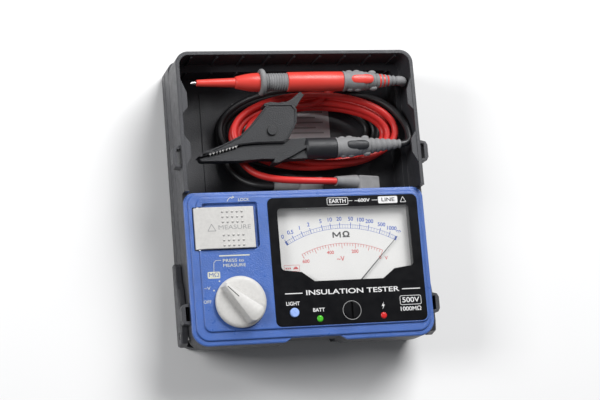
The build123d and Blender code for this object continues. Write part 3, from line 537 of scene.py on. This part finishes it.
def grip_lumps(start):
    """The raised finger grips along both sides of a boot, ahead of and behind its badge."""
    lump = [(-2.5 * cos(radians(18 * step)), 0.2 + 1.5 * sin(radians(18 * step)))
            for step in range(11)]
    return [turned(Vector(start) + Vector((s, side * reach, 0.8)), ALONG_X, lump, 20)
            for s, reach in ((4.6, 5.0), (9.4, 5.1), (19.4, 4.7)) for side in (-1, 1)]


def make_probe():
    """The red probe: sleeve, guard, ribbed grip, barrel, boot and its badge."""
    sleeve = [(0, 1.5), (0.3, 1.95), (2, 2.1), (12, 2.5), (23.7, 2.9), (23.9, 3.5)]
    sleeve += [(24.2 + step * 1.5, 3.7 + 2.0 * sin(radians(90 * step / 9))) for step in range(10)]
    sleeve += [(38.5, 5.75), (38.9, 5.4)]
    red = MATERIAL["probe_red"]
    grey = MATERIAL["boot_grey"]
    made = []
    piece = smooth(piece_from(turned(probe_at(-62), ALONG_X, sleeve), "probe_front", red))
    made.append(settle(piece, "case", ["probe_sleeve"]))

    ring = [(-1.75 * cos(radians(18 * step)), 6.5 + 1.7 * sin(radians(18 * step)))
            for step in range(11)]
    guard = turned(probe_at(-21.6), ALONG_X, ring, 56)
    grip = turned(probe_at(-23.5), ALONG_X,
                  [(0, 5.2), (4, 5.2)] + rib_stations(4.6, 17.4, 8, lambda s: 5.5, 0.45)
                  + [(17.5, 4.9)], 40)
    piece = smooth(piece_from(join(guard, grip), "probe_guard_and_grip", grey))
    made.append(settle(piece, "case", ["probe_grip"]))

    barrel = [(0, 5.5), (0.3, 5.9), (1, 6.0), (20, 6.1), (34.4, 6.0), (35, 5.7)]
    piece = smooth(piece_from(turned(probe_at(-6), ALONG_X, barrel), "probe_barrel", red))
    made.append(settle(piece, "case", ["probe_body"]))

    boot = join(boot_shape(probe_at(29), 35.6, 4.4), *grip_lumps(probe_at(29)))
    piece = smooth(piece_from(boot, "probe_lead_boot", grey), 60)
    made.append(settle(piece, "case", ["probe_boot"]))
    core = turned(probe_at(29), ALONG_X, [(23.0, 4.0), (23.6, 4.25), (29.5, 3.35), (30, 3.0)])
    piece = smooth(piece_from(core, "probe_boot_core", red))
    made.append(settle(piece, "case"))
    badge = inlay(40.3, PROBE_Y, PROBE_Z, 7.4, 3.0, BOOT_R, 0.16)
    piece = smooth(piece_from(badge, "probe_badge", red), 60)
    made.append(settle(piece, "case"))
    made.append(NODES["probe_tip"])
    return made


def make_clip_boot():
    """The black lead's boot, with its own badge."""
    start = (21.7, 28.6, 42.0)
    boot = join(boot_shape((0, 0, 0), 41.6), *grip_lumps((0, 0, 0)))
    tilt = Matrix.Rotation(atan(1.7 / 41.5), 3, "Z")
    vertices = [tilt @ Vector(v) + Vector(start) for v in boot[0]]
    piece = smooth(piece_from((vertices, boot[1]), "clip_lead_boot", MATERIAL["boot_grey"]), 60)
    settle(piece, "case", ["clip_boot"])
    badge = inlay(34.5, 29.1, 42.0, 7.4, 3.0, BOOT_R, 0.16)
    mark = smooth(piece_from(badge, "clip_badge", MATERIAL["clip_black"]), 60)
    settle(mark, "case")
    return [piece, mark]


JAW_RIM = [(-61.5, 25.2), (-49.4, 30.2), (-38.0, 35.6), (-30.0, 42.8), (-22.4, 51.2),
           (-19.2, 54.8), (-5.0, 54.6), (-2.7, 51.6), (-3.2, 44.2), (-8.8, 34.3), (-11.4, 32.5),
           (-28.9, 32.3), (-38.3, 31.5), (-47.1, 28.9)]


def make_clip_details():
    """The jaw's raised rim, the bright teeth below it and a black ring painted round its pivot as
    the shade in the gap round the pin.
    """
    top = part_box("clip_jaw")[1][2] / MM

    def edge(x):
        return 23.9 + (x + 63) * 0.262

    teeth = []
    for step in range(9):
        x = -58.0 + 2.0 * step
        tooth = [(x, edge(x) + 0.55), (x + 1.0, edge(x) - 0.75), (x + 2.0, edge(x + 2) + 0.55)]
        teeth.append(prism(tooth, top - 0.9, top + 0.12))
    settle(piece_from(join(*teeth), "clip_bright_teeth", MATERIAL["steel"]), "clip_jaw")
    # A black ring painted round the pivot as shade.
    pivot_shade_ring = bars(arc((-18.2, 39.0), 3.35, 0, 350, 35), 0.55, top, True)
    printed(pivot_shade_ring, "clip_pivot_painted_shade", INK_BLACK, "clip_jaw")
    rim = bars(JAW_RIM, 0.75, top - 0.1, True, 0.55)
    settle(piece_from(join(*rim), "clip_jaw_rim", MATERIAL["clip_black"]), "clip_jaw")


probe_pieces = make_probe()
clip_pieces = make_clip_boot()
make_clip_details()
lead("red_lead", RED_START + coil_points(RED_TURNS, *RED_SWEEP) + RED_END,
     MATERIAL["lead_red"],
     ["red_coil", "red_cord_start", "red_cord_end"])
lead("black_lead", BLACK_START + coil_points(BLACK_TURNS, *BLACK_SWEEP) + BLACK_END,
     MATERIAL["lead_black"],
     ["black_coil", "black_cord_start", "black_cord_end"])


# ------------------------------------------------------------------ measure key
def make_key():
    """The key's cap: a flat press face with a sloping end, pips, a triangle and its word."""
    low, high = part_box("measure_key")
    y0, y1 = low[1] / MM, high[1] / MM
    x0, x1 = low[0] / MM, high[0] / MM
    z0, z1 = low[2] / MM, high[2] / MM
    slope_x = x0 + 5.0
    profile = [(x0, z0), (x0, z1 - 2.2), (slope_x, z1), (x1, z1), (x1, z0)]
    count = len(profile)
    vertices = [(x, y0, z) for x, z in profile] + [(x, y1, z) for x, z in profile]
    faces = [tuple(range(count)), tuple(reversed(range(count, 2 * count)))]
    faces += [(i, (i + 1) % count, (i + 1) % count + count, i + count) for i in range(count)]
    cap = piece_from((vertices, faces), "key_cap", MATERIAL["key_white"])
    edges = cap.modifiers.new("edges", "BEVEL")
    edges.width = 0.35 * MM
    edges.segments = 3
    edges.limit_method = "ANGLE"
    smooth(cap, 35)
    settle(cap, "measure_key", ["measure_key"])

    pips = []
    pip_painted_shades = []
    dome = [(0, 0.62), (0.2, 0.60), (0.42, 0.45), (0.55, 0.15)]
    for first_y in (-9.4, -23.4):
        for row in range(3):
            for column in range(5):
                x, y = x0 + 16.8 + 2.96 * column, first_y - 3.07 * row
                pips.append(turned((x, y, z1 - 0.02), (0, 0, 1), dome, 16))
                # A grey disc painted a little below each pip, as its shade.
                pip_painted_shades.append(prism(arc((x, y - 0.32), 0.72, 0, 330, 11), z1, z1 + PRINT / 2))
    piece = smooth(piece_from(join(*pips), "key_pips", MATERIAL["key_white"]), 60)
    settle(piece, "measure_key")
    # The triangle and the word are engraved; their grey is painted shade in the engraving.
    triangle = bars([(-61.7, -20.9), (-56.9, -20.9), (-59.3, -16.8)], 0.45, z1, True)
    printed(pip_painted_shades + triangle, "key_engraving_painted_shade", GREY_PRINT_SHADE_AND_HIGHLIGHT, "measure_key")
    label("key_word", "MEASURE", (-45.5, -19.0), z1, 2.7, GREY_PRINT_SHADE_AND_HIGHLIGHT, 19.6, body="measure_key")


# ------------------------------------------------------------------ knob
KNOB_TIP_ANGLE = 135


def make_knob():
    """The knob: a round skirt and a wedge grip that narrows to the pointing end."""
    low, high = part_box("knob")
    centre = Vector(((low[0] + high[0]) / 2, (low[1] + high[1]) / 2, 0)) / MM
    radius = (high[0] - low[0]) / 2 / MM
    top = high[2] / MM
    skirt = [(45.3, radius - 0.6), (45.6, radius - 0.15), (46.2, radius), (47.0, radius - 0.25),
             (47.6, radius - 0.9), (47.95, radius - 2.0), (48.1, radius - 3.6), (48.2, 0.5)]
    disc = turned((centre.x, centre.y, 0), (0, 0, 1), skirt, 96)
    levels = []
    for height, tip_x, tip_y, end_x, end_y in (
        (47.6, 14.6, 2.6, -12.0, 8.6), (48.6, 14.2, 1.7, -12.4, 7.3),
        (50.6, 13.6, 1.1, -12.6, 6.0), (top - 0.35, 13.2, 0.9, -12.6, 5.4),
        (top, 12.7, 0.6, -12.0, 5.0),
    ):
        outline = [(tip_x, -tip_y), (tip_x + 0.3, 0), (tip_x, tip_y)]
        outline += [(end_x + 1.6, end_y), (end_x + 0.5, end_y * 0.9)]
        outline += [(end_x - 0.5 - 0.9 * (1 - (share / 3) ** 2), end_y * share / 4)
                    for share in (3, 2, 1, 0, -1, -2, -3)]
        outline += [(end_x + 0.5, -end_y * 0.9), (end_x + 1.6, -end_y)]
        levels.append([(x, y, height) for x, y in outline])
    count = len(levels[0])
    turn = Matrix.Rotation(radians(KNOB_TIP_ANGLE), 3, "Z")
    vertices = [turn @ Vector(p) + centre for level in levels for p in level]
    faces = [tuple(reversed(range(count)))]
    for ring in range(len(levels) - 1):
        for i in range(count):
            a, b = ring * count + i, ring * count + (i + 1) % count
            faces.append((a, b, b + count, a + count))
    faces.append(tuple(range((len(levels) - 1) * count, len(levels) * count)))
    piece = smooth(piece_from(join(disc, (vertices, faces)), "knob_cap",
                              MATERIAL["key_white"]), 38)
    settle(piece, "knob", ["knob"])
    start, end = turn @ Vector((12.2, 0, 0)) + centre, turn @ Vector((3.4, 0, 0)) + centre
    printed([bar(start[:2], end[:2], 0.45, top)], "knob_line", INK_BLACK, "knob")


# ------------------------------------------------------------------ meter scale
SCALE_CENTRE = (22.3, -90.8)
OHM_ARC = (70.2, 72.4)
OHM_MARKS = [("0", 119.3), ("0.5", 115.1), ("1", 110.3), ("2", 105.8), ("5", 99.8), ("10", 95.5),
             ("20", 90.9), ("50", 85.4), ("100", 80.8), ("200", 76.4), ("500", 70.5),
             ("1000", 65.5), ("∞", 61.9)]
VOLT_ARC = 61.0
VOLT_MARKS = [("600", 115.3), ("400", 98.5), ("200", 82.7), ("0", 66.2)]


def on_scale(radius, angle):
    """A point of the scale, by its distance and angle from the arcs' centre."""
    return (SCALE_CENTRE[0] + radius * cos(radians(angle)),
            SCALE_CENTRE[1] + radius * sin(radians(angle)))


def spoke(angle, inner, outer):
    """A radial line of the scale."""
    return [on_scale(inner, angle), on_scale(outer, angle)]


def make_scale():
    """The meter's two scales, with their numbers."""
    inner, outer = OHM_ARC
    blue = []
    first, last = OHM_MARKS[0][1], OHM_MARKS[-1][1]
    for radius in OHM_ARC:
        blue += bars(arc(SCALE_CENTRE, radius, first, last, 48), 0.19, SCALE_TOP)
    for (_, angle), (_, following) in zip(OHM_MARKS, OHM_MARKS[1:]):
        blue += bars(spoke(angle, inner, outer + 1.3), 0.38, SCALE_TOP)
        for share in (0.25, 0.5, 0.75):
            minor = angle + (following - angle) * share
            blue += bars(spoke(minor, inner, outer), 0.13, SCALE_TOP)
    for angle in (first, last):
        blue += bars(spoke(angle, inner - 0.2, outer + 0.2), 1.3, SCALE_TOP)
    printed(blue, "scale_blue_marks", INK_BLUE)
    for text, angle in OHM_MARKS:
        at = on_scale(outer + 3.5, angle)
        name = "scale_mark_" + text.replace(".", "p").replace("∞", "open")
        label(name, text, at, SCALE_TOP, 2.4, INK_BLUE, turn=(angle - 90) * 0.25, bold=0.06)

    first, last = VOLT_MARKS[0][1], VOLT_MARKS[-1][1]
    red = bars(arc(SCALE_CENTRE, VOLT_ARC, first, last, 40), 0.22, SCALE_TOP)
    for step in range(31):
        angle = first + (last - first) * step / 30
        depth = 3.0 if step % 5 == 0 else 1.7
        red += bars(spoke(angle, VOLT_ARC - depth, VOLT_ARC), 0.3, SCALE_TOP)
    printed(red, "scale_red_marks", INK_RED)
    for text, angle in VOLT_MARKS:
        at = on_scale(VOLT_ARC - 4.9, angle)
        label("scale_volts_" + text, text, at, SCALE_TOP, 2.1, INK_RED, bold=0.05)
    label("scale_volts_unit", "V", (48.8, -39.9), SCALE_TOP, 2.1, INK_RED, bold=0.05)
    label("scale_volts_name", "~V", (20.1, -39.3), SCALE_TOP, 2.9, INK_RED, bold=0.05)
    strokes = bars([(16.6, -26.3), (16.6, -22.9), (18.8, -25.5), (21.0, -22.9), (21.0, -26.3)],
                   0.85, SCALE_TOP)
    printed(strokes, "scale_mega", INK_BLACK)
    label("scale_ohm", "Ω", (24.7, -24.6), SCALE_TOP, 3.4, INK_BLACK, 4.4, bold=0.22)
    box = bars([(-15.4, -45.6), (-6.0, -45.6), (-6.0, -42.0), (-15.4, -42.0)], 0.2, SCALE_TOP,
               True)
    lamp = prism(arc((-8.3, -44.2), 1.3, 0, 180, 12), SCALE_TOP, SCALE_TOP + PRINT)
    base = bar((-9.9, -44.3), (-6.7, -44.3), 0.5, SCALE_TOP)
    note = [bar((x, -43.9), (x + 0.8, -43.9), 1.0, SCALE_TOP) for x in (-14.6, -13.4, -12.2)]
    printed(box + note + [lamp, base], "scale_lamp_box", INK_RED)


NEEDLE_ANGLE = 45.6
NEEDLE_R = 48.6


def make_needle():
    """The meter's needle: a thin blade on its hub, with a short tail."""
    low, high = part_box("meter_coil")
    hub = Vector((low[0] + high[0], low[1] + high[1], 0)) / 2 / MM
    turn = Matrix.Rotation(radians(NEEDLE_ANGLE), 3, "Z")
    blade = [(-5.5, -1.1), (0, -0.45), (30, -0.22), (NEEDLE_R, -0.12), (NEEDLE_R, 0.12),
             (30, 0.22), (0, 0.45), (-5.5, 1.1)]
    outline = [(turn @ Vector((x, y, 0)) + hub)[:2] for x, y in blade]
    boss = turned((hub.x, hub.y, 40.3), (0, 0, 1), [(0, 1.8), (0.5, 1.8), (0.8, 1.5)], 32)
    piece = piece_from(join(prism(outline, 40.4, 40.9), boss), "needle",
                       MATERIAL["pointer_black"])
    settle(piece, "pointer", ["pointer"])


# ------------------------------------------------------------------ bezel and panel printing
def make_bezel_print():
    """White printing on the black bezel, and a grey ring painted round the zero screw as the
    highlight on its rim.
    """
    z = BEZEL_TOP
    white = bars(rounded((12.9, 25.9), (-7.2, -2.9), 0.8), 0.3, z, True)
    white += bars([(26.2, -5.0), (28.8, -5.0)], 0.28, z)
    white += bars([(41.0, -5.0), (44.8, -5.0)], 0.28, z)
    white += bars([(59.0, -6.7), (62.6, -6.7), (60.8, -3.4)], 0.3, z, True)
    white += bars([(-17.7, -59.9), (-7.0, -59.9)], 0.55, z)
    white += bars([(55.0, -60.0), (66.5, -60.0)], 0.55, z)
    white += bars(rounded((53.2, 66.4), (-69.6, -64.2), 0.9), 0.3, z, True)
    white.append(prism(rounded((45.0, 57.3), (-7.2, -2.9), 0.8), z, z + PRINT))
    white.append(prism([(42.9, -67.2), (41.3, -69.8), (42.3, -69.8), (41.6, -72.0),
                        (43.3, -69.0), (42.3, -69.0)], z, z + PRINT))
    printed(white, "bezel_print_lines", INK_WHITE)
    low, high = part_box("zero_screw")
    middle = ((low[0] + high[0]) / 2 / MM, (low[1] + high[1]) / 2 / MM)
    # A grey ring painted round the zero screw as the highlight on its rim.
    rim_highlight = bars(arc(middle, 5.6, 0, 351, 39), 0.32, z, True)
    printed(rim_highlight, "zero_screw_painted_rim_highlight", GREY_PRINT_SHADE_AND_HIGHLIGHT)
    for name, text, at, capital, width in (
        ("print_earth", "EARTH", (19.4, -5.05), 2.5, 10.4),
        ("print_volts", "~600V", (34.9, -5.0), 2.1, 9.6),
        ("print_title", "INSULATION TESTER", (24.0, -59.9), 3.0, 58.0),
        ("print_light", "LIGHT", (-13.4, -66.0), 2.2, 8.2),
        ("print_batt", "BATT", (2.2, -70.4), 2.2, 7.2),
        ("print_rating", "500V", (59.8, -66.9), 3.1, 10.8),
        ("print_range", "1000MΩ", (59.3, -72.2), 2.5, 13.0),
    ):
        label(name, text, at, z, capital, INK_WHITE, width, bold=0.05)
    label("print_line", "LINE", (51.2, -5.05), z + PRINT, 2.3, INK_BLACK, 8.2,
          bold=0.05)


def make_panel_print():
    """Cream printing on the blue panel."""
    z = PANEL_TOP
    cream = bars([(-55.7, -35.6), (-37.3, -35.6)], 0.7, z)
    cream += bars([(-54.6, -38.2), (-57.8, -38.2), (-59.2, -39.6), (-59.5, -44.9)], 0.25, z)
    cream.append(prism(rounded((-63.4, -55.9), (-48.9, -44.9), 0.7), z, z + PRINT))
    for at in ((-56.6, -50.6), (-60.3, -56.0)):
        cream.append(prism(arc(at, 0.45, 0, 330, 11), z, z + PRINT))
    arrow = arc((-45.0, -4.1), 3.6, 165, 75, 10)
    cream += bars(arrow, 0.28, z)
    cream += bars([(-46.0, -1.4), (-44.1, -0.7), (-45.2, 0.2)], 0.28, z)
    printed(cream, "panel_print_lines", INK_CREAM)
    for name, text, at, capital, width, material, height in (
        ("print_lock", "LOCK", (-38.4, -2.3), 1.9, 6.8, INK_CREAM, 0),
        ("print_press", "PRESS to", (-47.4, -38.6), 1.9, 12.6, INK_CREAM, 0),
        ("print_measure", "MEASURE", (-46.9, -41.5), 1.9, 13.6, INK_CREAM, 0),
        ("print_mohm", "MΩ", (-59.65, -46.9), 2.5, 6.0, INK_DARK_BLUE, PRINT),
        ("print_acv", "~V", (-64.2, -54.6), 1.9, 3.8, INK_CREAM, 0),
        ("print_off", "OFF", (-64.6, -62.7), 1.9, 4.6, INK_CREAM, 0),
    ):
        label(name, text, at, z + height, capital, material, width)


def make_tray_label_print():
    """Plain rules on the tray label, with no words."""
    z = LABEL_TOP
    rules = [bar((-33, 64.6), (24, 64.6), 2.6, z)]
    rules += [bar((-35.5, 62), (27, 62), 0.25, z)]
    for row in range(5):
        y = 59.4 - row * 3.3
        rules.append(bar((-34.5, y), (25 if row % 2 == 0 else 20, y), 1.0, z))
    printed(rules, "tray_label_rules", GREY_PRINT_SHADE_AND_HIGHLIGHT)


make_key()
make_knob()
make_scale()
make_needle()
make_bezel_print()
make_panel_print()
make_tray_label_print()


# ------------------------------------------------------------------ floor and light
def make_floor():
    """A wide sheet of pale paper."""
    mesh = bpy.data.meshes.new("floor")
    reach = 3.0
    mesh.from_pydata([(-reach, -reach, 0), (reach, -reach, 0), (reach, reach, 0),
                      (-reach, reach, 0)], [], [(0, 1, 2, 3)])
    material, tree, shader = new_material("floor_paper")
    tree.links.new(ramp(tree, noise(tree, 3, 2.0), (0.86, 0.86, 0.86), (0.90, 0.90, 0.90)),
                   shader.inputs["Base Color"])
    shader.inputs["Roughness"].default_value = 0.9
    mesh.materials.append(material)
    floor = bpy.data.objects.new("floor", mesh)
    floor.location.z = -0.0005
    bpy.context.scene.collection.objects.link(floor)


def area_light(name, place, size, power, aim=(0, 0, 0.03)):
    """A square soft box that points at the tester."""
    data = bpy.data.lights.new(name, "AREA")
    data.size = size
    data.energy = power
    lamp = bpy.data.objects.new(name, data)
    lamp.location = place
    lamp.rotation_euler = (Vector(aim) - Vector(place)).to_track_quat("-Z", "Y").to_euler()
    bpy.context.scene.collection.objects.link(lamp)


make_floor()
area_light("key_light", (0.55, 0.95, 1.05), 0.85, 28)
area_light("edge_light", (-1.05, 0.2, 0.85), 0.45, 9)
world = bpy.data.worlds.new("studio")
bpy.context.scene.world = world
world.use_nodes = True
world.node_tree.nodes["Background"].inputs["Color"].default_value = (0.93, 0.95, 1.0, 1)
world.node_tree.nodes["Background"].inputs["Strength"].default_value = 0.13
bpy.context.scene.view_settings.view_transform = "Standard"
